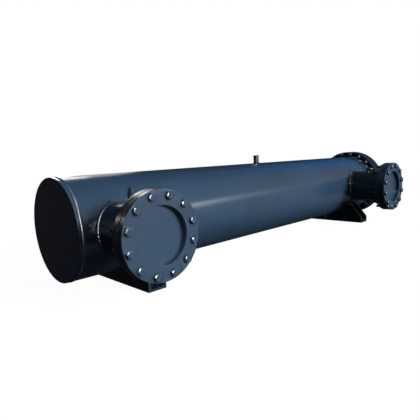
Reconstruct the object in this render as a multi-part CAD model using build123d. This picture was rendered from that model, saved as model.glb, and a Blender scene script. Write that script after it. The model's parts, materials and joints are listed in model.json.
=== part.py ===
from build123d import *
import math
import os

# Shell and tube heat exchanger: a horizontal steel shell on two saddles. Two flanged
# water nozzles leave its front side, a vent stands on top, and the tube side is
# reached through a bolted head at the far end.
# Millimetres. X runs along the shell towards the head, the nozzles point to -Y, +Z is
# up. The origin lies on the floor, in the middle of the four anchor holes.

os.makedirs("parts", exist_ok=True)

# Shell
shell_radius = 221.0
shell_wall = 8.0
shell_ground_clearance = 65.0
end_plate_thickness = 20.0
seam_bevel = 4.0

# Length along the shell, from the end plate's outer face to the tube sheet
body_length = 2538.0
near_nozzle_setback = 186.0
far_nozzle_setback = 268.0
near_saddle_setback = 312.0
far_saddle_setback = 234.5

# Water nozzles with their bolted pairs of flanges
connection_reach = 492.5
neck_radius = 109.55
neck_wall = 6.3
flange_radius = 170.0
flange_bolt_edge = 22.5
flange_bolt_count = 12
flange_hole_radius = 11.0
nozzle_flange_thickness = 28.0
companion_flange_thickness = 24.0
companion_bore_radius = 110.75
gasket_thickness = 2.0
blank_disc_thickness = 4.0
neck_end_setback = 7.0

# Sensor sockets on the necks, each closed with a hexagon plug
socket_radius = 15.0
socket_wall = 5.0
near_socket_height = 46.0
far_socket_height = 16.0
socket_distance = 306.0
plug_head_height = 14.0
plug_head_across_flats = 22.0
plug_shank_length = 16.0

# Vent on top of the shell
vent_radius = 16.85
vent_wall = 3.2
vent_height = 49.5
vent_inner_reach = 4.0
vent_position = 17.0

# Saddles, which reach out past the shell
saddle_width = 94.0
saddle_overhang = 38.5
saddle_toe_height = 44.0
saddle_slope = 49.5
saddle_plate = 10.0
saddle_rib_inset = 100.0
anchor_hole_radius = 12.0
anchor_hole_inset = 39.5
earthing_lug_width = 12.0
earthing_lug_height = 26.0
earthing_lug_thickness = 8.0
earthing_lug_position = 37.0
earthing_lug_base = 6.0

# Bolted joint at the far end, wider than the shell by its rim
girth_rim = 39.0
girth_bolt_offset = 20.0
girth_bolt_count = 20
girth_hole_radius = 10.0
tube_sheet_thickness = 62.0

# Head with its two tube side connections
head_flange_thickness = 52.0
head_body_length = 84.0
head_wall = 10.0
head_cover_thickness = 22.0
head_corner_bevel = 20.0
outlet_pipe_radius = 57.15
outlet_pipe_wall = 4.5
outlet_pipe_margin = 64.0
inlet_pipe_radius = 30.15
inlet_pipe_wall = 3.6
inlet_pipe_margin = 76.0
head_pipe_reach = 48.0

# Tube bundle inside the shell
bundle_clearance = 17.0
bundle_end_gap = 30.0
bundle_bend_bevel = 80.0

# Clearances: a pipe in the hole it is welded into, and a gasket inside its bolts
slip_gap = 0.3
gasket_bolt_gap = 1.0

shell_inner_radius = shell_radius - shell_wall
axis_height = shell_radius + shell_ground_clearance
bundle_radius = shell_inner_radius - bundle_clearance

# Places along the shell
saddle_spacing = body_length - near_saddle_setback - far_saddle_setback
near_saddle_x = -saddle_spacing / 2
far_saddle_x = saddle_spacing / 2
near_end_x = near_saddle_x - near_saddle_setback
shell_start_x = near_end_x + end_plate_thickness
tube_sheet_x = near_end_x + body_length
near_nozzle_x = near_end_x + near_nozzle_setback
far_nozzle_x = tube_sheet_x - far_nozzle_setback
head_gasket_x = tube_sheet_x + tube_sheet_thickness
head_x = head_gasket_x + gasket_thickness
head_body_x = head_x + head_flange_thickness
head_face_x = head_body_x + head_body_length

# Bolt circle of the nozzles, and the faces of their bolted stack from the shell's axis
flange_bolt_circle = 2 * (flange_radius - flange_bolt_edge)
companion_back = connection_reach - companion_flange_thickness
blank_disc_back = companion_back - blank_disc_thickness
nozzle_flange_face = blank_disc_back - gasket_thickness
nozzle_flange_back = nozzle_flange_face - nozzle_flange_thickness
neck_end = nozzle_flange_face - neck_end_setback
seal_radius = flange_bolt_circle / 2 - flange_hole_radius - gasket_bolt_gap

# Saddle
saddle_half_length = shell_radius + saddle_overhang
saddle_rib_position = saddle_half_length - saddle_rib_inset
anchor_hole_position = saddle_half_length - anchor_hole_inset
saddle_web_offset = (saddle_width - saddle_plate) / 2

# Bolted joint and head
girth_radius = shell_radius + girth_rim
girth_bolt_circle = 2 * (shell_radius + girth_bolt_offset)
girth_seal_radius = girth_bolt_circle / 2 - girth_hole_radius - gasket_bolt_gap
head_inner_radius = shell_radius - head_wall
outlet_pipe_rise = shell_radius - outlet_pipe_margin - outlet_pipe_radius
inlet_pipe_drop = shell_radius - inlet_pipe_margin - inlet_pipe_radius


def save(part, name):
    """Write one piece to its own STEP file."""
    export_step(part, f"parts/{name}.step")


def across_shell(x):
    """Plane square to the shell at x, centred on the shell's axis and facing +X."""
    return Plane(origin=(x, 0, axis_height), x_dir=(0, 1, 0), z_dir=(1, 0, 0))


def nozzle_plane(x, distance):
    """Plane square to a nozzle at x, at a distance from the shell's axis, facing -Y."""
    return Plane(origin=(x, -distance, axis_height), x_dir=(1, 0, 0), z_dir=(0, -1, 0))


def ring(outer, inner):
    """Flat ring, the section of a pipe or a gasket."""
    return Circle(outer) - Circle(inner)


def bolt_holes(circle_diameter, count, hole_radius):
    """Holes on a bolt circle, turned so that they straddle the centre lines."""
    half_step = 180.0 / count
    return PolarLocations(circle_diameter / 2, count, half_step) * Circle(hole_radius)


def rims(part, radius):
    """The round edges of that radius, in order along the shell."""
    circles = part.edges().filter_by(GeomType.CIRCLE)
    return circles.filter_by(lambda edge: abs(edge.radius - radius) < 0.01).sort_by(Axis.X)


def shell_cylinder(radius, start_x, end_x):
    """Solid cylinder on the shell's axis."""
    return extrude(across_shell(start_x) * Circle(radius), amount=end_x - start_x)


def shell():
    """Rolled tube with openings for the two necks and the vent, bevelled for the seam."""
    length = tube_sheet_x - shell_start_x
    tube = extrude(across_shell(shell_start_x) * ring(shell_radius, shell_inner_radius), amount=length)
    tube = chamfer(rims(tube, shell_radius)[0], seam_bevel)
    for x in (near_nozzle_x, far_nozzle_x):
        tube -= extrude(nozzle_plane(x, 0) * Circle(neck_radius + slip_gap), amount=connection_reach)
    vent_plane = Plane(origin=(vent_position, 0, axis_height))
    return tube - extrude(vent_plane * Circle(vent_radius + slip_gap), amount=shell_radius + vent_height)


def near_end_plate():
    """Flat plate that closes the near end, bevelled on its inner edge for the seam."""
    plate = shell_cylinder(shell_radius, near_end_x, shell_start_x)
    return chamfer(rims(plate, shell_radius)[-1], seam_bevel)


def neck(x):
    """Nozzle pipe, cut flush with the inside of the shell and open to its sensor socket."""
    pipe = extrude(nozzle_plane(x, 0) * ring(neck_radius, neck_radius - neck_wall), amount=neck_end)
    pipe -= shell_cylinder(shell_inner_radius, x - shell_radius, x + shell_radius)
    socket_plane = Plane(origin=(x, -socket_distance, axis_height))
    return pipe - extrude(socket_plane * Circle(socket_radius + slip_gap), amount=shell_radius)


def drilled_flange(x, distance, bore_radius, thickness):
    """Nozzle flange with its bolt holes, from a distance outwards."""
    profile = ring(flange_radius, bore_radius)
    profile -= bolt_holes(flange_bolt_circle, flange_bolt_count, flange_hole_radius)
    return extrude(nozzle_plane(x, distance) * profile, amount=thickness)


def nozzle_flange(x):
    """Flange welded on a neck."""
    return drilled_flange(x, nozzle_flange_back, neck_radius + slip_gap, nozzle_flange_thickness)


def companion_flange(x):
    """Loose flange bolted to the nozzle flange, ready for the water pipe."""
    return drilled_flange(x, companion_back, companion_bore_radius, companion_flange_thickness)


def nozzle_gasket(x):
    """Flat gasket inside the bolt circle."""
    return extrude(nozzle_plane(x, nozzle_flange_face) * ring(seal_radius, neck_radius), amount=gasket_thickness)


def blank_disc(x):
    """Blank disc clamped between gasket and companion flange."""
    return extrude(nozzle_plane(x, blank_disc_back) * Circle(seal_radius), amount=blank_disc_thickness)


def sensor_socket(x, height):
    """Socket set into the top of a neck, standing above it by its height."""
    inside = neck_radius - neck_wall
    base = Plane(origin=(x, -socket_distance, axis_height + inside))
    profile = ring(socket_radius, socket_radius - socket_wall)
    return extrude(base * profile, amount=neck_radius + height - inside)


def sensor_plug(x, height):
    """Hexagon plug screwed into a sensor socket of that height."""
    top = Plane(origin=(x, -socket_distance, axis_height + neck_radius + height))
    hexagon = RegularPolygon(plug_head_across_flats / 2, 6, major_radius=False)
    shank = Circle(socket_radius - socket_wall - slip_gap)
    return extrude(top * hexagon, amount=plug_head_height) + extrude(top * shank, amount=-plug_shank_length)


def vent_pipe():
    """Short open pipe through the top of the shell."""
    base_z = axis_height + shell_inner_radius - vent_inner_reach
    top_z = axis_height + shell_radius + vent_height
    base = Plane(origin=(vent_position, 0, base_z))
    return extrude(base * ring(vent_radius, vent_radius - vent_wall), amount=top_z - base_z)


def shell_seat(x):
    """Room for the shell through a saddle, cut from its webs and ribs."""
    return shell_cylinder(shell_radius + slip_gap, x - saddle_width, x + saddle_width)


def saddle_web(x):
    """One upright web of a saddle, centred at x, its sides sloping in from low toes."""
    toe = saddle_half_length
    rise = axis_height - saddle_toe_height
    top = toe - rise / math.tan(math.radians(saddle_slope))
    corners = [(toe, saddle_plate), (toe, saddle_toe_height), (top, axis_height)]
    mirrored = [(-across, up) for across, up in reversed(corners)]
    face = Plane(origin=(x - saddle_plate / 2, 0, 0), x_dir=(0, 1, 0), z_dir=(1, 0, 0))
    outline = make_face(Polyline(*corners, *mirrored, close=True))
    return extrude(face * outline, amount=saddle_plate) - shell_seat(x)


def saddle_base(x):
    """Foot plate of a saddle with its two anchor holes."""
    plate = Rectangle(saddle_width, 2 * saddle_half_length)
    holes = GridLocations(0, 2 * anchor_hole_position, 1, 2) * Circle(anchor_hole_radius)
    return extrude(Plane(origin=(x, 0, 0)) * (plate - holes), amount=saddle_plate)


def saddle_rib(x, side):
    """Stiffener between the two webs, on the -Y side or the +Y side of a saddle."""
    base = Plane(origin=(x, side * saddle_rib_position, saddle_plate))
    section = Rectangle(saddle_width - 2 * saddle_plate, saddle_plate)
    return extrude(base * section, amount=axis_height - saddle_plate) - shell_seat(x)


def earthing_lug():
    """Small lug on the far saddle's near web."""
    web_face_x = far_saddle_x - saddle_width / 2
    centre_z = saddle_plate + earthing_lug_base + earthing_lug_height / 2
    face = Plane(origin=(web_face_x, earthing_lug_position, centre_z), x_dir=(0, 1, 0), z_dir=(-1, 0, 0))
    return extrude(face * Rectangle(earthing_lug_width, earthing_lug_height), amount=earthing_lug_thickness)


def girth_disc():
    """Outline of the bolted joint with its bolt holes."""
    return Circle(girth_radius) - bolt_holes(girth_bolt_circle, girth_bolt_count, girth_hole_radius)


def tube_sheet():
    """Thick plate welded on the shell's end, which holds the tubes and the head's bolts."""
    return extrude(across_shell(tube_sheet_x) * girth_disc(), amount=tube_sheet_thickness)


def head_gasket():
    """Flat gasket between tube sheet and head."""
    profile = ring(girth_seal_radius, head_inner_radius)
    return extrude(across_shell(head_gasket_x) * profile, amount=gasket_thickness)


def head():
    """Hollow head: a drilled flange, a short round body and a flat cover in one casting."""
    body = shell_cylinder(shell_radius, head_body_x, head_face_x)
    body = chamfer(rims(body, shell_radius)[-1], head_corner_bevel)
    casting = extrude(across_shell(head_x) * girth_disc(), amount=head_flange_thickness) + body
    casting -= shell_cylinder(head_inner_radius, head_x, head_face_x - head_cover_thickness)
    ports = Pos(0, outlet_pipe_rise) * Circle(outlet_pipe_radius - outlet_pipe_wall)
    ports += Pos(0, -inlet_pipe_drop) * Circle(inlet_pipe_radius - inlet_pipe_wall)
    return casting - extrude(across_shell(head_face_x) * ports, amount=-head_body_length)


def head_pipe(height, radius, wall):
    """Open pipe end that stands on the head's cover, at a height above the shell's axis."""
    start = across_shell(head_face_x) * Pos(0, height)
    return extrude(start * ring(radius, radius - wall), amount=head_pipe_reach)


def tube_bundle():
    """Plain envelope of the U-tube bundle, from the tube sheet to its bends."""
    bundle = shell_cylinder(bundle_radius, shell_start_x + bundle_end_gap, tube_sheet_x)
    return chamfer(rims(bundle, bundle_radius)[0], bundle_bend_bevel)


save(shell(), "shell")
save(near_end_plate(), "near_end_plate")
save(vent_pipe(), "vent_pipe")

nozzles = (("near", near_nozzle_x, near_socket_height), ("far", far_nozzle_x, far_socket_height))
for side, x, socket_height in nozzles:
    save(neck(x), f"{side}_neck")
    save(nozzle_flange(x), f"{side}_nozzle_flange")
    save(nozzle_gasket(x), f"{side}_nozzle_gasket")
    save(blank_disc(x), f"{side}_blank_disc")
    save(companion_flange(x), f"{side}_companion_flange")
    save(sensor_socket(x, socket_height), f"{side}_sensor_socket")
    save(sensor_plug(x, socket_height), f"{side}_sensor_plug")

for side, x, outward in (("near", near_saddle_x, -1), ("far", far_saddle_x, 1)):
    save(saddle_base(x), f"{side}_saddle_base")
    save(saddle_web(x + outward * saddle_web_offset), f"{side}_saddle_outer_web")
    save(saddle_web(x - outward * saddle_web_offset), f"{side}_saddle_inner_web")
    save(saddle_rib(x, -1), f"{side}_saddle_front_rib")
    save(saddle_rib(x, 1), f"{side}_saddle_back_rib")

save(earthing_lug(), "earthing_lug")
save(tube_sheet(), "tube_sheet")
save(head_gasket(), "head_gasket")
save(head(), "head")
save(head_pipe(outlet_pipe_rise, outlet_pipe_radius, outlet_pipe_wall), "outlet_pipe")
save(head_pipe(-inlet_pipe_drop, inlet_pipe_radius, inlet_pipe_wall), "inlet_pipe")
save(tube_bundle(), "tube_bundle")
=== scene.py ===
import json
import math
import random

import bmesh
import bpy
from mathutils import Matrix, Vector


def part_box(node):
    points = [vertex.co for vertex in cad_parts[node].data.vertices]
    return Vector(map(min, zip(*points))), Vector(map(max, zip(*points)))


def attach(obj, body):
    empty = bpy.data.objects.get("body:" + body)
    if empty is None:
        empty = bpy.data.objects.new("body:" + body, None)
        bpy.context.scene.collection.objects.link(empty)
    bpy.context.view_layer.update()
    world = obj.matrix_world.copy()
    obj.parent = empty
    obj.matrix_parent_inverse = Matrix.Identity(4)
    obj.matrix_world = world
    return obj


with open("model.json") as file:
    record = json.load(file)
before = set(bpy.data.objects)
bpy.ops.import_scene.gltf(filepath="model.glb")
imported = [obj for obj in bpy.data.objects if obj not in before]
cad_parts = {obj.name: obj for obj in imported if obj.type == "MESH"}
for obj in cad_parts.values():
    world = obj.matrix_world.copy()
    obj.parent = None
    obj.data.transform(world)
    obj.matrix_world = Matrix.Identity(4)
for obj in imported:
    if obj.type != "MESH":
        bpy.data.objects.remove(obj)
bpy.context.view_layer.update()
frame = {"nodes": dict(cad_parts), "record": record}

X_AXIS = Vector((1, 0, 0))
Y_AXIS = Vector((0, 1, 0))
Z_AXIS = Vector((0, 0, 1))
FULL_TURN = 2 * math.pi

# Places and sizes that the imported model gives, in metres
mounts = {mount["name"]: mount for mount in frame["record"]["mounts"]}
NOZZLE_BOLT_CIRCLE = mounts["near_water_bolts"]["dims"]["pcd_mm"] / 2000
NOZZLE_BOLTS = mounts["near_water_bolts"]["dims"]["count"]
NEAR_NOZZLE_X, NOZZLE_FACE_Y, AXIS_Z = mounts["near_water_bolts"]["pos_m"]
FAR_NOZZLE_X = mounts["far_water_pipe"]["pos_m"][0]
VENT_X = mounts["vent"]["pos_m"][0]
SHELL_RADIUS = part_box("shell")[1].y
SHELL_START_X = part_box("shell")[0].x
TUBE_SHEET_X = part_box("tube_sheet")[0].x
NECK_RADIUS = (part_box("near_neck")[1].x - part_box("near_neck")[0].x) / 2
NOZZLE_BACK_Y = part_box("near_nozzle_flange")[1].y
SOCKET_Y = (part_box("near_sensor_socket")[0].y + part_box("near_sensor_socket")[1].y) / 2
SOCKET_RADIUS = (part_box("near_sensor_socket")[1].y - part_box("near_sensor_socket")[0].y) / 2
VENT_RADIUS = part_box("vent_pipe")[1].y
VENT_TOP_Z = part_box("vent_pipe")[1].z
SADDLE_BASE_TOP_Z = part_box("near_saddle_base")[1].z
HEAD_X, HEAD_FACE_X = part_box("head")[0].x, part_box("head")[1].x

# Girth joint, in metres
GIRTH_BOLT_CIRCLE = 0.241
GIRTH_BOLTS = 20
HEAD_FLANGE_THICKNESS = 0.052

# Bolts of the nozzles and of the girth joint, in metres
M20 = {"thread": 0.020, "flats": 0.030, "head": 0.0125, "nut": 0.018, "pitch": 0.0025, "reach": 0.046}
M18 = {"thread": 0.018, "flats": 0.027, "head": 0.0115, "nut": 0.015, "pitch": 0.0025, "reach": 0.026}

# Form of a bolt: its turned corners, and shares of the flats, the pitch and the thread's root
HEX_CHAMFER = math.radians(30)
TURNED_FACE = 0.82
THREAD_DEPTH = 0.61
THREAD_TIP = 0.85
HEX_POINTS = 24
THREAD_POINTS = 16

# How far the heads and nuts are turned at random, in radians
HEAD_TURN = 0.5
NUT_TURN = 0.12

# Weld beads, in metres: ripples, rows of points along them, and how far the edges sink in
RIPPLE_SPACING = 0.005
ROWS_PER_RIPPLE = 3
BEAD_STEP = RIPPLE_SPACING / ROWS_PER_RIPPLE
BEAD_SINK = 0.0006

# Section of a bead: its spans from edge to edge, and its height as a share of the legs
BEAD_SPANS = 6
CROWN = 0.30

# Ripples of a bead: its middle trails behind its edges, and its height swings about a mean
RIPPLE_LAG = 0.45
RIPPLE_MEAN = 0.66
RIPPLE_SWING = 0.34

# Uneven width of the beads: share of the width, and metres along the bead for one radian
FILLET_WANDER = ((0.07, 0.017), (0.05, 0.0071), (0.10, 0.0026))
SEAM_WANDER, SEAM_WANDER_LENGTH = 0.06, 0.023

# Legs of the fillet welds, and how far the saddles' foot welds stop short, in metres
NECK_FOOT_LEG = 0.008
NECK_COLLAR_LEG = 0.007
SOCKET_LEG = 0.004
GIRTH_LEG = 0.006
VENT_LEG = 0.005
SADDLE_LEG = 0.006
SADDLE_WELD_STOP = 0.006

# Points along round paths
CIRCLE_POINTS = 180
SHELL_JOINT_POINTS = 360
SOCKET_JOINT_POINTS = 120
LIP_POINTS = 48
SADDLE_ARC_SPANS = 60

# Corners sharper than these show as edges: on beads, and on bolts with their chamfers
BEAD_SMOOTH_ANGLE = math.radians(35)
BOLT_SMOOTH_ANGLE = math.radians(24)

# Noise in the finishes: scale per metre and detail
DRIFT = (2.1, 3.0)
MOTTLE = (38.0, 4.0)
GLOSS = (9.0, 4.0)
WIDE_WAVE = (3.4, 1.0)
NARROW_WAVE = (16.0, 1.0)
TOOL_MARKS = (160.0, 2.0)
ORANGE_PEEL = (330.0, 2.0)
GRINDING = (90.0, 5.0)
FIBRES = (420.0, 4.0)
FLOOR_GRAIN = (3.0, 4.0)

# How noise is stretched: along the rolled shell, and across the grinding marks
WIDE_WAVE_STRETCH = (0.35, 1.0, 1.0)
NARROW_WAVE_STRETCH = (0.05, 1.0, 1.0)
GRINDING_STRETCH = (1.0, 1.0, 14.0)

# Values between which most of the noise lies
NOISE_LOW = 0.3
NOISE_HIGH = 0.7

# Paint: refraction, shares of its colour where darkest and lightest, and its spread of roughness
PAINT_IOR = 1.52
PAINT_DARK = 0.84
PAINT_LIGHT = 1.16
MOTTLE_DARK = 0.55
GLOSSIER = 0.02
DULLER = 0.03

# Bare steel and gasket: shade of their darkest or lightest spots, and range of roughness
STEEL_DARK = 0.75
STEEL_ROUGHNESS = (0.28, 0.48)
FIBRE_LIGHT = 2.2
FIBRE_ROUGHNESS = (0.62, 0.85)

# Shares of the slot's colour for the saddles and the girth joint: painted shade, darker than their paint, for
# the saddles in the shadow under the shell and for the girth joint, which faces away from the lamps
SADDLE_PAINTED_SHADE = 0.5
GIRTH_PAINTED_SHADE = 0.3

# Floor: half its side and where it fades into white, in metres, then its colours and its own light
FLOOR_HALF = 30.0
FADE_START = 1.6
FADE_END = 4.5
FLOOR_DARK = (0.10, 0.10, 0.102)
FLOOR_LIGHT = (0.12, 0.12, 0.122)
FLOOR_GLOW = 0.96

# Light of the surround, and its soft patches: direction, cosine at the patch's edge, colour
SURROUND = (0.014, 0.014, 0.015)
GLOWS = (
    ((0.62, -0.78, 0.2), 0.35, (0.15, 0.15, 0.15)),
    ((0.1, -0.1, 1.0), 0.4, (0.03, 0.03, 0.03)),
    ((0.5, -0.8, 0.35), 0.45, (0.16, 0.16, 0.16)),
    ((0.88, 0.16, 0.44), 0.94, (0.0, 0.12, 0.42)),
    ((-0.4, 0.9, 0.15), 0.80, (0.015, 0.014, 0.014)),
)

# Colours of the lamps, and the point that most of them face
WHITE = (1, 1, 1)
COOL_WHITE = (0.97, 0.985, 1.0)
MIDDLE = (0, 0, 0.3)

# Lamps in a row that the shell mirrors as its streak: their ends, then height in metres and watts
STREAK_ENDS = ((0.5, -4.0, 0.95), (2.1, -4.0, 1.37), (3.5, -4.0, 1.73), (5.5, -4.0, 2.20))
STREAK_LAMPS = ((0.6, 44), (0.6, 14), (1.0, 6))

# Camera fitted to the photograph: place in metres, its three axes, sensor and lens in millimetres
CAMERA_PLACE = (-1.94205, -1.5956, 0.5513)
CAMERA_RIGHT = Vector((0.71651, -0.69580, -0.04968))
CAMERA_UP = Vector((0.12683, 0.05991, 0.99011))
CAMERA_BACK = Vector((-0.68595, -0.71573, 0.13117))
SENSOR_WIDTH = 36.0
LENS = 33.38


# Building meshes

class Shape:
    """Points and faces of a piece that is built up from tubes of rings."""

    def __init__(self):
        self.points = []
        self.faces = []

    def tube(self, rings, loop=False):
        """Join rings of equally many points; a tube that is no loop gets end caps."""
        count = len(rings[0])
        start = len(self.points)
        for ring in rings:
            self.points.extend(ring)
        last = len(rings) if loop else len(rings) - 1
        for row in range(last):
            low = start + row * count
            high = start + (row + 1) % len(rings) * count
            for i in range(count):
                j = (i + 1) % count
                self.faces.append((low + i, low + j, high + j, high + i))
        if not loop:
            self.faces.append(tuple(reversed(range(start, start + count))))
            end = start + (len(rings) - 1) * count
            self.faces.append(tuple(range(end, end + count)))

    def piece(self, name, material, smooth_angle=BEAD_SMOOTH_ANGLE):
        """Make the object, facing outwards, smooth except over sharp corners."""
        mesh = bpy.data.meshes.new(name)
        mesh.from_pydata([tuple(point) for point in self.points], [], self.faces)
        work = bmesh.new()
        work.from_mesh(mesh)
        bmesh.ops.recalc_face_normals(work, faces=work.faces)
        work.to_mesh(mesh)
        work.free()
        mesh.shade_smooth()
        mesh.set_sharp_from_angle(angle=smooth_angle)
        mesh.materials.append(material)
        made = bpy.data.objects.new(name, mesh)
        bpy.context.scene.collection.objects.link(made)
        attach(made, "root")


def placed(points, origin, axis, turn=0.0):
    """Points given about the Z axis, moved so that Z lies along axis from origin."""
    matrix = Matrix.Translation(origin) @ axis.to_track_quat("Z", "X").to_matrix().to_4x4()
    matrix = matrix @ Matrix.Rotation(turn, 4, "Z")
    return [matrix @ point for point in points]


def circle(radius, height, count):
    """Ring of points about the Z axis."""
    steps = [FULL_TURN * i / count for i in range(count)]
    return [Vector((radius * math.cos(a), radius * math.sin(a), height)) for a in steps]


# Bolts, nuts and stud ends

def hexagon(flats, height_at):
    """Ring of points on a hexagon, each at the height that its radius gives."""
    points = []
    for i in range(HEX_POINTS):
        angle = FULL_TURN * i / HEX_POINTS
        from_flat = (angle + math.pi / 6) % (math.pi / 3) - math.pi / 6
        radius = flats / 2 / math.cos(from_flat)
        points.append(Vector((radius * math.cos(angle), radius * math.sin(angle), height_at(radius))))
    return points


def hex_rings(flats, height, both_ends):
    """Rings of a hexagon head or nut with its corners turned off."""
    turned_radius = TURNED_FACE * flats / 2

    def drop(radius):
        return (radius - turned_radius) * math.tan(HEX_CHAMFER)

    rings = []
    if both_ends:
        rings.append(circle(turned_radius, 0, HEX_POINTS))
        rings.append(hexagon(flats, drop))
    else:
        rings.append(hexagon(flats, lambda radius: 0.0))
    rings.append(hexagon(flats, lambda radius: height - drop(radius)))
    rings.append(circle(turned_radius, height, HEX_POINTS))
    return rings


def thread_rings(size):
    """Rings of a stud end with its thread ridges and a turned tip."""
    crest = size["thread"] / 2
    root = crest - THREAD_DEPTH * size["pitch"]
    turns = int(size["reach"] / size["pitch"])
    rings = []
    for i in range(2 * turns):
        radius = crest if i % 2 == 0 else root
        rings.append(circle(radius, i * size["pitch"] / 2, THREAD_POINTS))
    rings.append(circle(THREAD_TIP * root, turns * size["pitch"], THREAD_POINTS))
    return rings


def add_fasteners(shape, centre, axis, bolt_circle, count, size, head_at, nut_at, seed):
    """Bolts that straddle the centre lines: heads at head_at, nuts and stud ends at nut_at."""
    chance = random.Random(seed)
    across = axis.to_track_quat("Z", "X").to_matrix()
    for i in range(count):
        angle = FULL_TURN * (i + 0.5) / count
        radial = across @ Vector((math.cos(angle), math.sin(angle), 0))
        spot = centre + radial * bolt_circle
        head_turn = chance.uniform(-HEAD_TURN, HEAD_TURN)
        nut_turn = chance.uniform(-NUT_TURN, NUT_TURN) - angle
        for ring_set, at, way, turn in (
            (hex_rings(size["flats"], size["head"], False), head_at, axis, head_turn),
            (hex_rings(size["flats"], size["nut"], True), nut_at, -axis, nut_turn),
            (thread_rings(size), nut_at, -axis, nut_turn),
        ):
            shape.tube([placed(ring, spot + axis * at, way, turn) for ring in ring_set])


# Weld beads

def resampled(points, closed):
    """The same path with its points about one bead step apart."""
    path = list(points) + ([points[0]] if closed else [])
    lengths = [0.0]
    for a, b in zip(path, path[1:]):
        lengths.append(lengths[-1] + (b - a).length)
    count = max(3, round(lengths[-1] / BEAD_STEP))
    result = []
    span = 0
    for i in range(count if closed else count + 1):
        target = lengths[-1] * i / count
        while span < len(path) - 2 and lengths[span + 1] < target:
            span += 1
        share = (target - lengths[span]) / (lengths[span + 1] - lengths[span])
        result.append(path[span].lerp(path[span + 1], share))
    return result


def tangents(path, closed):
    """Direction of the path at each of its points."""
    count = len(path)
    result = []
    for i in range(count):
        before = path[i - 1] if closed or i else path[0]
        after = path[(i + 1) % count] if closed or i < count - 1 else path[-1]
        result.append((after - before).normalized())
    return result


def bead_section(root, edge_a, edge_b, crown, along, phase):
    """One cross-section of a bead: a root point, two edges and a rippled crown between them."""
    section = [root]
    for k in range(BEAD_SPANS + 1):
        share = k / BEAD_SPANS
        swell = math.sin(math.pi * share)
        swing = math.cos(FULL_TURN * (along / RIPPLE_SPACING - RIPPLE_LAG * swell) + phase)
        ripple = RIPPLE_MEAN + RIPPLE_SWING * swing
        section.append(edge_a.lerp(edge_b, share) + crown * swell * ripple)
    return section


def add_fillet(shape, points, normal_a, normal_b, leg, closed, seed):
    """Fillet weld in the corner between two surfaces, given by their outward normals."""
    chance = random.Random(seed)
    first, second = chance.uniform(0, FULL_TURN), chance.uniform(0, FULL_TURN)
    phases = (first, second, first + second)
    path = resampled(points, closed)
    rings = []
    for i, (point, tangent) in enumerate(zip(path, tangents(path, closed))):
        along = i * BEAD_STEP
        wander = 1
        for (share, length), phase in zip(FILLET_WANDER, phases):
            wander += share * math.sin(along / length + phase)
        up_a, up_b = normal_a(point), normal_b(point)
        way_a = tangent.cross(up_a).normalized()
        way_a = way_a if way_a.dot(up_b) > 0 else -way_a
        way_b = tangent.cross(up_b).normalized()
        way_b = way_b if way_b.dot(up_a) > 0 else -way_b
        edge_a = point + way_a * leg * wander - up_a * BEAD_SINK
        edge_b = point + way_b * leg * wander - up_b * BEAD_SINK
        root = point - (up_a + up_b) * BEAD_SINK
        crown = (way_a + way_b).normalized() * CROWN * math.hypot(leg, leg)
        rings.append(bead_section(root, edge_a, edge_b, crown, along, first))
    shape.tube(rings, loop=closed)


def around(centre, axis, radius):
    """Circle of points about an axis."""
    return placed(circle(radius, 0, CIRCLE_POINTS), centre, axis)


def shell_point(x, angle):
    """Point on the shell's outside, by its place along the shell and its angle from the Y axis."""
    return Vector((x, SHELL_RADIUS * math.cos(angle), AXIS_Z + SHELL_RADIUS * math.sin(angle)))


def shell_normal(point):
    """Outward normal of the shell."""
    return Vector((0, point.y, point.z - AXIS_Z)).normalized()


def pipe_normal(centre, axis):
    """Outward normal of a round pipe, as a function of the point."""
    def normal(point):
        offset = point - centre
        return (offset - axis * offset.dot(axis)).normalized()
    return normal


def flat_normal(direction):
    """Normal of a flat face, as a function of the point."""
    return lambda point: direction


def pipe_on_shell(centre, axis, radius):
    """Where a pipe whose axis crosses the shell's axis comes out of the shell."""
    side = axis.cross(X_AXIS)
    points = []
    for i in range(SHELL_JOINT_POINTS):
        angle = FULL_TURN * i / SHELL_JOINT_POINTS
        across = radius * math.sin(angle)
        out = math.sqrt(SHELL_RADIUS ** 2 - across ** 2)
        points.append(centre + X_AXIS * radius * math.cos(angle) + side * across + axis * out)
    return points


def pipe_on_neck(nozzle_x):
    """Where the upright sensor socket comes out of a neck."""
    points = []
    for i in range(SOCKET_JOINT_POINTS):
        angle = FULL_TURN * i / SOCKET_JOINT_POINTS
        across = SOCKET_RADIUS * math.cos(angle)
        out = math.sqrt(NECK_RADIUS ** 2 - across ** 2)
        points.append(Vector((nozzle_x + across, SOCKET_Y + SOCKET_RADIUS * math.sin(angle), AXIS_Z + out)))
    return points


# Pieces

def nozzle_bolts(side, nozzle_x, material):
    """Twelve bolts through a nozzle's two flanges, with their stud ends behind."""
    shape = Shape()
    centre = Vector((nozzle_x, 0, AXIS_Z))
    add_fasteners(
        shape, centre, -Y_AXIS, NOZZLE_BOLT_CIRCLE, NOZZLE_BOLTS, M20,
        -NOZZLE_FACE_Y, -NOZZLE_BACK_Y, seed=11 if side == "near" else 12,
    )
    shape.piece(f"{side}_flange_bolts", material, BOLT_SMOOTH_ANGLE)


def girth_bolts(material):
    """Twenty bolts through the tube sheet and the head's flange, with nuts on the shell's side."""
    shape = Shape()
    centre = Vector((0, 0, AXIS_Z))
    head_at = HEAD_X + HEAD_FLANGE_THICKNESS
    add_fasteners(shape, centre, X_AXIS, GIRTH_BOLT_CIRCLE, GIRTH_BOLTS, M18, head_at, TUBE_SHEET_X, seed=13)
    shape.piece("girth_bolts", material, BOLT_SMOOTH_ANGLE)


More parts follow.
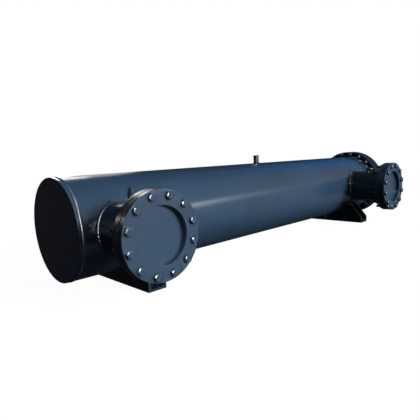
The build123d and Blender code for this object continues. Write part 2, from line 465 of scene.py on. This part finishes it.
def nozzle_welds(side, nozzle_x, material):
    """Welds of a neck to the shell, to its flange and to its sensor socket."""
    centre = Vector((nozzle_x, 0, AXIS_Z))
    neck_up = pipe_normal(centre, -Y_AXIS)
    shape = Shape()
    foot = pipe_on_shell(centre, -Y_AXIS, NECK_RADIUS)
    add_fillet(shape, foot, neck_up, shell_normal, NECK_FOOT_LEG, True, seed=21)
    collar = around(Vector((nozzle_x, NOZZLE_BACK_Y, AXIS_Z)), Y_AXIS, NECK_RADIUS)
    add_fillet(shape, collar, neck_up, flat_normal(Y_AXIS), NECK_COLLAR_LEG, True, seed=22)
    socket_up = pipe_normal(Vector((nozzle_x, SOCKET_Y, AXIS_Z)), Z_AXIS)
    add_fillet(shape, pipe_on_neck(nozzle_x), socket_up, neck_up, SOCKET_LEG, True, seed=23)
    shape.piece(f"{side}_nozzle_welds", material)


def end_seam(material):
    """Low weld cap round the seam between the end plate and the shell."""
    half_width, height, depth = 0.0080, 0.0028, 0.003
    centre = Vector((SHELL_START_X, 0, AXIS_Z))
    path = resampled(around(centre, X_AXIS, SHELL_RADIUS), True)
    phase = random.Random(31).uniform(0, FULL_TURN)
    rings = []
    for i, point in enumerate(path):
        up = shell_normal(point)
        along = i * BEAD_STEP
        wide = half_width * (1 + SEAM_WANDER * math.sin(along / SEAM_WANDER_LENGTH + phase))
        edge_a = point - X_AXIS * wide - up * BEAD_SINK
        edge_b = point + X_AXIS * wide - up * BEAD_SINK
        rings.append(bead_section(point - up * depth, edge_a, edge_b, up * height, along, phase))
    shape = Shape()
    shape.tube(rings, loop=True)
    shape.piece("near_end_seam_weld", material)


def girth_welds(material):
    """Welds of the tube sheet to the shell and of the two pipe ends to the head."""
    shape = Shape()
    ring_path = around(Vector((TUBE_SHEET_X, 0, AXIS_Z)), X_AXIS, SHELL_RADIUS)
    add_fillet(shape, ring_path, shell_normal, flat_normal(-X_AXIS), GIRTH_LEG, True, seed=41)
    for name, seed in (("tube_side_outlet", 42), ("tube_side_inlet", 43)):
        centre = Vector(mounts[name]["pos_m"])
        centre.x = HEAD_FACE_X
        radius = mounts[name]["dims"]["r_mm"] / 1000
        joint = around(centre, X_AXIS, radius)
        add_fillet(shape, joint, pipe_normal(centre, X_AXIS), flat_normal(X_AXIS), GIRTH_LEG, True, seed)
    shape.piece("girth_and_head_welds", material)


def vent_details(material):
    """Weld at the foot of the vent and the rolled lip on its mouth."""
    centre = Vector((VENT_X, 0, AXIS_Z))
    shape = Shape()
    foot = pipe_on_shell(centre, Z_AXIS, VENT_RADIUS)
    add_fillet(shape, foot, pipe_normal(centre, Z_AXIS), shell_normal, VENT_LEG, True, seed=51)
    wall, lip_height, lip_depth = 0.0032, 0.006, 0.0018
    bore = VENT_RADIUS - wall
    outside = VENT_RADIUS + lip_depth
    profile = [
        (bore, VENT_TOP_Z - lip_height),
        (VENT_RADIUS, VENT_TOP_Z - lip_height),
        (outside, VENT_TOP_Z - 0.7 * lip_height),
        (outside, VENT_TOP_Z - 0.2 * lip_height),
        (VENT_RADIUS + 0.5 * lip_depth, VENT_TOP_Z),
        (bore, VENT_TOP_Z),
    ]
    rings = []
    for i in range(LIP_POINTS):
        angle = FULL_TURN * i / LIP_POINTS
        way = Vector((math.cos(angle), math.sin(angle), 0))
        rings.append([Vector((VENT_X, 0, height)) + way * radius for radius, height in profile])
    shape.tube(rings, loop=True)
    shape.piece("vent_weld_and_lip", material)


def saddle_welds(side, material):
    """Welds of a saddle's webs to the shell, and of their inner faces to the foot plate."""
    shape = Shape()
    seed = 61
    base_low, base_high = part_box(f"{side}_saddle_base")
    middle_x = (base_low.x + base_high.x) / 2
    for web in ("outer", "inner"):
        low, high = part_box(f"{side}_saddle_{web}_web")
        tip = math.asin((high.z - AXIS_Z) / SHELL_RADIUS)
        for face_x, facing in ((low.x, -X_AXIS), (high.x, X_AXIS)):
            arc = []
            for i in range(SADDLE_ARC_SPANS + 1):
                angle = tip - (math.pi + 2 * tip) * i / SADDLE_ARC_SPANS
                arc.append(shell_point(face_x, angle))
            seed += 1
            web_up = flat_normal(facing)
            add_fillet(shape, arc, shell_normal, web_up, SADDLE_LEG, False, seed)
            if (middle_x - face_x) * facing.x > 0:
                ends = (low.y + SADDLE_WELD_STOP, high.y - SADDLE_WELD_STOP)
                line = [Vector((face_x, y, SADDLE_BASE_TOP_Z)) for y in ends]
                add_fillet(shape, line, web_up, flat_normal(Z_AXIS), SADDLE_LEG, False, seed + 20)
    shape.piece(f"{side}_saddle_welds", material)


# Materials

def new_material(name):
    """A node material with only its shader: itself, its tree, the shader and object coordinates."""
    material = bpy.data.materials.new(name)
    material.use_nodes = True
    nodes = material.node_tree.nodes
    nodes.clear()
    output = nodes.new("ShaderNodeOutputMaterial")
    shader = nodes.new("ShaderNodeBsdfPrincipled")
    place = nodes.new("ShaderNodeTexCoord")
    material.node_tree.links.new(shader.outputs["BSDF"], output.inputs["Surface"])
    return material, material.node_tree, shader, place.outputs["Object"]


def noise(tree, place, scale, detail, stretch=None):
    """Noise over the surface, stretched by a vector if one is given."""
    if stretch is not None:
        mapping = tree.nodes.new("ShaderNodeMapping")
        mapping.inputs["Scale"].default_value = stretch
        tree.links.new(place, mapping.inputs["Vector"])
        place = mapping.outputs["Vector"]
    made = tree.nodes.new("ShaderNodeTexNoise")
    made.inputs["Scale"].default_value = scale
    made.inputs["Detail"].default_value = detail
    tree.links.new(place, made.inputs["Vector"])
    return made.outputs["Fac"]


def ranged(tree, value, low, high):
    """Noise spread from low to high."""
    made = tree.nodes.new("ShaderNodeMapRange")
    made.inputs["From Min"].default_value = NOISE_LOW
    made.inputs["From Max"].default_value = NOISE_HIGH
    made.inputs["To Min"].default_value = low
    made.inputs["To Max"].default_value = high
    tree.links.new(value, made.inputs["Value"])
    return made.outputs["Result"]


def product(tree, first, second):
    """Two values multiplied."""
    made = tree.nodes.new("ShaderNodeMath")
    made.operation = "MULTIPLY"
    tree.links.new(first, made.inputs[0])
    tree.links.new(second, made.inputs[1])
    return made.outputs["Value"]


def scaled(color, share):
    """Colour made darker or lighter."""
    return [share * channel for channel in color]


def tinted(tree, dark, light, share):
    """Colour between dark and light."""
    made = tree.nodes.new("ShaderNodeMix")
    made.data_type = "RGBA"
    made.inputs["A"].default_value = (*dark, 1)
    made.inputs["B"].default_value = (*light, 1)
    tree.links.new(share, made.inputs["Factor"])
    return made.outputs["Result"]


def bumped(tree, height, distance, normal=None):
    """Bump from a height, on top of another normal if one is given."""
    made = tree.nodes.new("ShaderNodeBump")
    made.inputs["Strength"].default_value = 1.0
    made.inputs["Distance"].default_value = distance
    tree.links.new(height, made.inputs["Height"])
    if normal is not None:
        tree.links.new(normal, made.inputs["Normal"])
    return made.outputs["Normal"]


def worn_edges(tree, radius):
    """Normal that is rounded over the corners of the piece."""
    made = tree.nodes.new("ShaderNodeBevel")
    made.samples = 4
    made.inputs["Radius"].default_value = radius
    return made.outputs["Normal"]


def paint(name, color, roughness, corner, peel=0.000005, wave=0.0, machined=0.0, shine=0.5):
    """Semi-gloss paint: slow colour drift, fine mottling, orange peel and rounded corners.

    corner, peel, wave and machined are the corners' radius and the bumps' heights, in metres.
    """
    material, tree, shader, place = new_material(name)
    drift = ranged(tree, noise(tree, place, *DRIFT), 0.0, 1.0)
    mottle = ranged(tree, noise(tree, place, *MOTTLE), MOTTLE_DARK, 1.0)
    share = product(tree, drift, mottle)
    dark, light = scaled(color, PAINT_DARK), scaled(color, PAINT_LIGHT)
    tree.links.new(tinted(tree, dark, light, share), shader.inputs["Base Color"])
    gloss = ranged(tree, noise(tree, place, *GLOSS), roughness - GLOSSIER, roughness + DULLER)
    tree.links.new(gloss, shader.inputs["Roughness"])
    shader.inputs["IOR"].default_value = PAINT_IOR
    shader.inputs["Specular IOR Level"].default_value = shine
    normal = worn_edges(tree, corner)
    if wave:
        normal = bumped(tree, noise(tree, place, *WIDE_WAVE, WIDE_WAVE_STRETCH), wave, normal)
        normal = bumped(tree, noise(tree, place, *NARROW_WAVE, NARROW_WAVE_STRETCH), 2 * wave, normal)
    if machined:
        normal = bumped(tree, noise(tree, place, *TOOL_MARKS), machined, normal)
    normal = bumped(tree, noise(tree, place, *ORANGE_PEEL), peel, normal)
    tree.links.new(normal, shader.inputs["Normal"])
    return material


def brushed_steel(name, color):
    """Bare steel with short grinding marks."""
    material, tree, shader, place = new_material(name)
    marks = noise(tree, place, *GRINDING, GRINDING_STRETCH)
    tint = tinted(tree, scaled(color, STEEL_DARK), color, ranged(tree, marks, 0.0, 1.0))
    tree.links.new(tint, shader.inputs["Base Color"])
    tree.links.new(ranged(tree, marks, *STEEL_ROUGHNESS), shader.inputs["Roughness"])
    shader.inputs["Metallic"].default_value = 1.0
    normal = bumped(tree, marks, distance=0.00003, normal=worn_edges(tree, radius=0.0008))
    tree.links.new(normal, shader.inputs["Normal"])
    return material


def sheet_gasket(name, color):
    """Matt black gasket with a fibrous edge."""
    material, tree, shader, place = new_material(name)
    fibres = noise(tree, place, *FIBRES)
    tint = tinted(tree, color, scaled(color, FIBRE_LIGHT), ranged(tree, fibres, 0.0, 1.0))
    tree.links.new(tint, shader.inputs["Base Color"])
    tree.links.new(ranged(tree, fibres, *FIBRE_ROUGHNESS), shader.inputs["Roughness"])
    tree.links.new(bumped(tree, fibres, distance=0.0002), shader.inputs["Normal"])
    return material


def slot_finishes(colors):
    """The finish of each slot of the record, from its base colour."""
    # The saddles are darker than their slot's colour: painted shade for the shadow under the shell
    saddle_shaded_color = scaled(colors["painted_saddle"], SADDLE_PAINTED_SHADE)
    return {
        "painted_shell": paint(
            "shell_paint", colors["painted_shell"], roughness=0.20, corner=0.0022, wave=0.0002,
        ),
        "painted_flange": paint(
            "flange_paint", colors["painted_flange"], roughness=0.24, corner=0.0016, machined=0.000006,
        ),
        "painted_saddle": paint(
            "saddle_shaded_paint", saddle_shaded_color, roughness=0.28, corner=0.0012, peel=0.000008,
        ),
        "painted_fittings": paint(
            "fittings_paint", colors["painted_fittings"], roughness=0.16, corner=0.0008, shine=1.0,
        ),
        "bare_steel": brushed_steel("ground_steel", colors["bare_steel"]),
        "gasket": sheet_gasket("sheet_gasket", colors["gasket"]),
    }


def bolt_finish(colors):
    """Glossy paint of the bolts and nuts."""
    return paint("bolt_paint", colors["painted_flange"], roughness=0.13, corner=0.0006, shine=1.0)


def weld_finish(colors):
    """Glossy, slightly pitted paint of the weld beads."""
    return paint(
        "weld_paint", colors["painted_shell"], roughness=0.15, corner=0.0005, peel=0.00001, shine=1.0,
    )


def girth_shaded_finish(colors):
    """Dull paint of the girth joint, darkened below its slot's colour as painted shade."""
    color = scaled(colors["painted_flange"], GIRTH_PAINTED_SHADE)
    return paint("girth_shaded_paint", color, roughness=0.30, corner=0.0016, shine=0.05)


def dress_nodes(finishes, girth_shaded_paint):
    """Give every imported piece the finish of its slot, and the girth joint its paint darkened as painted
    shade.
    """
    for entry in frame["record"]["subparts"]:
        frame["nodes"][entry["node"]].material_slots[0].material = finishes[entry["material_slot"]]
    for node in ("tube_sheet", "head"):
        frame["nodes"][node].material_slots[0].material = girth_shaded_paint


# Light, floor and camera

def softbox(name, place, target, width, height, power, color=WHITE, spread=180, gives="both"):
    """Rectangular lamp that the camera doesn't see, narrowed by a grid to the spread in degrees.

    It gives fill, gloss or both.
    """
    lamp = bpy.data.lights.new(name, "AREA")
    lamp.shape = "RECTANGLE"
    lamp.size = width
    lamp.size_y = height
    lamp.energy = power
    lamp.color = color
    lamp.spread = math.radians(spread)
    made = bpy.data.objects.new(name, lamp)
    bpy.context.scene.collection.objects.link(made)
    made.location = place
    made.rotation_mode = "QUATERNION"
    made.rotation_quaternion = (Vector(target) - Vector(place)).to_track_quat("-Z", "Y")
    made.visible_camera = False
    made.visible_diffuse = gives != "gloss"
    made.visible_glossy = gives != "fill"
    return made


def strip_lamp(name, start, end, height, power, target=MIDDLE, spread=180, gives="both"):
    """Long lamp that lies along the line from start to end and faces the target."""
    start, end = Vector(start), Vector(end)
    middle = (start + end) / 2
    along = (end - start).normalized()
    back = (middle - Vector(target)).normalized()
    up = back.cross(along).normalized()
    back = along.cross(up)
    length = (end - start).length
    made = softbox(name, middle, target, length, height, power, spread=spread, gives=gives)
    made.rotation_quaternion = Matrix((along, up, back)).transposed().to_quaternion()


def fill_lamps():
    """Key from far in front, and a weak lamp that fills the shadows of the near nozzle."""
    softbox("key", (4.2, -23.2, 8.0), MIDDLE, 5.0, 5.0, 2560)
    softbox("near_fill", (0.86, -5.9, 1.98), (-1.12, -0.5, 0.3), 0.5, 0.5, 5.6, spread=37, gives="fill")


def glint_lamps():
    """Lamps that only shine in reflections, on the bolts, the welds and the flanges' rims."""
    strip_lamp(
        "glint", (-2.79, -4.285, 0.1), (-1.42, -3.82, 2.60), 0.95, 20,
        target=(-1.3, -0.4, 0.3), spread=56, gives="gloss",
    )
    softbox("far_glint", (-2.35, -1.4, 3.65), (1.25, -0.2, 0.4), 0.8, 0.8, 2.2, spread=30, gives="gloss")
    softbox("low_glint", (-1.68, -1.83, 0.165), (-1.15, -0.5, 0.3), 0.55, 0.27, 0.4, spread=60, gives="gloss")
    softbox("rim_glint", (-3.3, -2.0, 2.9), (-1.25, -0.4, 0.3), 1.2, 1.2, 1.2, spread=40, gives="gloss")


def back_lamps():
    """Lamps behind the shell, which light the band along its top edge."""
    softbox("backdrop_high", (0.9, 4.5, 3.5), (0.9, 0, 0.5), 1.3, 1.3, 24, COOL_WHITE)
    softbox("backdrop_edge", (1.9, 4.5, 3.1), (1.9, 0, 0.5), 0.7, 1.8, 2.6, COOL_WHITE)
    softbox("backdrop_low", (1.2, 4.5, 1.6), (1.2, 0, 0.5), 1.9, 2.2, 9, COOL_WHITE)
    softbox("back_fill", (1.6, 9.0, 2.6), MIDDLE, 2.4, 2.4, 190)


def streak_lamps():
    """Row of lamps for the shell's streak, weaker towards its far end."""
    for i, (height, power) in enumerate(STREAK_LAMPS):
        strip_lamp(f"strip_{i + 1}", STREAK_ENDS[i], STREAK_ENDS[i + 1], height, power)


def studio_lights():
    """All the lamps, the last of them a weak one behind the near neck."""
    fill_lamps()
    glint_lamps()
    back_lamps()
    streak_lamps()
    softbox("neck_rim", (-2.5, 3.0, 1.5), (-1.12, -0.3, 0.3), 0.35, 0.35, 5)


def glow(tree, below, direction, edge, color):
    """Surround colour with a soft patch of light added towards one direction."""
    place = tree.nodes.new("ShaderNodeTexCoord")
    facing = tree.nodes.new("ShaderNodeVectorMath")
    facing.operation = "DOT_PRODUCT"
    facing.inputs[1].default_value = Vector(direction).normalized()
    share = tree.nodes.new("ShaderNodeMapRange")
    share.interpolation_type = "SMOOTHSTEP"
    share.inputs["From Min"].default_value = edge
    share.inputs["From Max"].default_value = 1.0
    added = tree.nodes.new("ShaderNodeMix")
    added.data_type = "RGBA"
    added.blend_type = "ADD"
    added.inputs["B"].default_value = (*color, 1)
    tree.links.new(place.outputs["Generated"], facing.inputs[0])
    tree.links.new(facing.outputs["Value"], share.inputs["Value"])
    tree.links.new(share.outputs["Result"], added.inputs["Factor"])
    if below is None:
        added.inputs["A"].default_value = (*SURROUND, 1)
    else:
        tree.links.new(below, added.inputs["A"])
    return added.outputs["Result"]


def studio_world():
    """White backdrop for the camera, and a dim surround with soft patches of light."""
    world = bpy.data.worlds.new("studio")
    bpy.context.scene.world = world
    world.use_nodes = True
    tree = world.node_tree
    tree.nodes.clear()
    output = tree.nodes.new("ShaderNodeOutputWorld")
    mix = tree.nodes.new("ShaderNodeMixShader")
    path = tree.nodes.new("ShaderNodeLightPath")
    surround = tree.nodes.new("ShaderNodeBackground")
    backdrop = tree.nodes.new("ShaderNodeBackground")
    backdrop.inputs["Color"].default_value = (*WHITE, 1)
    color = None
    for direction, edge, patch in GLOWS:
        color = glow(tree, color, direction, edge, patch)
    tree.links.new(color, surround.inputs["Color"])
    tree.links.new(path.outputs["Is Camera Ray"], mix.inputs["Fac"])
    tree.links.new(surround.outputs["Background"], mix.inputs[1])
    tree.links.new(backdrop.outputs["Background"], mix.inputs[2])
    tree.links.new(mix.outputs["Shader"], output.inputs["Surface"])


def floor_material():
    """Matt pale floor with a faint grain that fades into plain white away from the middle."""
    material, tree, shader, place = new_material("floor")
    shader.inputs["Roughness"].default_value = 0.9
    shader.inputs["Specular IOR Level"].default_value = 0.0
    grain = ranged(tree, noise(tree, place, *FLOOR_GRAIN), 0.0, 1.0)
    tree.links.new(tinted(tree, FLOOR_DARK, FLOOR_LIGHT, grain), shader.inputs["Base Color"])
    shader.inputs["Emission Color"].default_value = (*WHITE, 1)
    shader.inputs["Emission Strength"].default_value = FLOOR_GLOW
    white = tree.nodes.new("ShaderNodeEmission")
    mix = tree.nodes.new("ShaderNodeMixShader")
    distance = tree.nodes.new("ShaderNodeVectorMath")
    distance.operation = "LENGTH"
    fade = tree.nodes.new("ShaderNodeMapRange")
    fade.interpolation_type = "SMOOTHSTEP"
    fade.inputs["From Min"].default_value = FADE_START
    fade.inputs["From Max"].default_value = FADE_END
    output = next(node for node in tree.nodes if node.type == "OUTPUT_MATERIAL")
    tree.links.new(place, distance.inputs[0])
    tree.links.new(distance.outputs["Value"], fade.inputs["Value"])
    tree.links.new(fade.outputs["Result"], mix.inputs["Fac"])
    tree.links.new(shader.outputs["BSDF"], mix.inputs[1])
    tree.links.new(white.outputs["Emission"], mix.inputs[2])
    tree.links.new(mix.outputs["Shader"], output.inputs["Surface"])
    return material


def studio_floor():
    """Floor that takes a soft shadow and neither lights the object nor shows in its gloss."""
    mesh = bpy.data.meshes.new("floor")
    signs = ((-1, -1), (1, -1), (1, 1), (-1, 1))
    mesh.from_pydata([(x * FLOOR_HALF, y * FLOOR_HALF, 0) for x, y in signs], [], [(0, 1, 2, 3)])
    mesh.materials.append(floor_material())
    floor = bpy.data.objects.new("floor", mesh)
    bpy.context.scene.collection.objects.link(floor)
    floor.visible_diffuse = False
    floor.visible_glossy = False


def photo_camera():
    """Camera at the photograph's place, with its slight roll."""
    data = bpy.data.cameras.new("camera")
    data.sensor_width = SENSOR_WIDTH
    data.lens = LENS
    camera = bpy.data.objects.new("camera", data)
    bpy.context.scene.collection.objects.link(camera)
    turned = Matrix((CAMERA_RIGHT, CAMERA_UP, CAMERA_BACK)).transposed().to_4x4()
    camera.matrix_world = Matrix.Translation(CAMERA_PLACE) @ turned
    bpy.context.scene.camera = camera


# The scene

photo_camera()
studio_world()
studio_floor()
studio_lights()

slot_colors = {entry["slot"]: entry["base_color"] for entry in frame["record"]["materials"]}
finishes = slot_finishes(slot_colors)
bolt_paint = bolt_finish(slot_colors)
weld_paint = weld_finish(slot_colors)

# The tube sheet and head get paint darkened as painted shade
dress_nodes(finishes, girth_shaded_finish(slot_colors))
for side, nozzle_x in (("near", NEAR_NOZZLE_X), ("far", FAR_NOZZLE_X)):
    nozzle_bolts(side, nozzle_x, bolt_paint)
    nozzle_welds(side, nozzle_x, weld_paint)
    saddle_welds(side, weld_paint)
girth_bolts(bolt_paint)
end_seam(weld_paint)
girth_welds(weld_paint)
vent_details(weld_paint)

bpy.context.scene.view_settings.view_transform = "Standard"
bpy.context.scene.view_settings.look = "None"
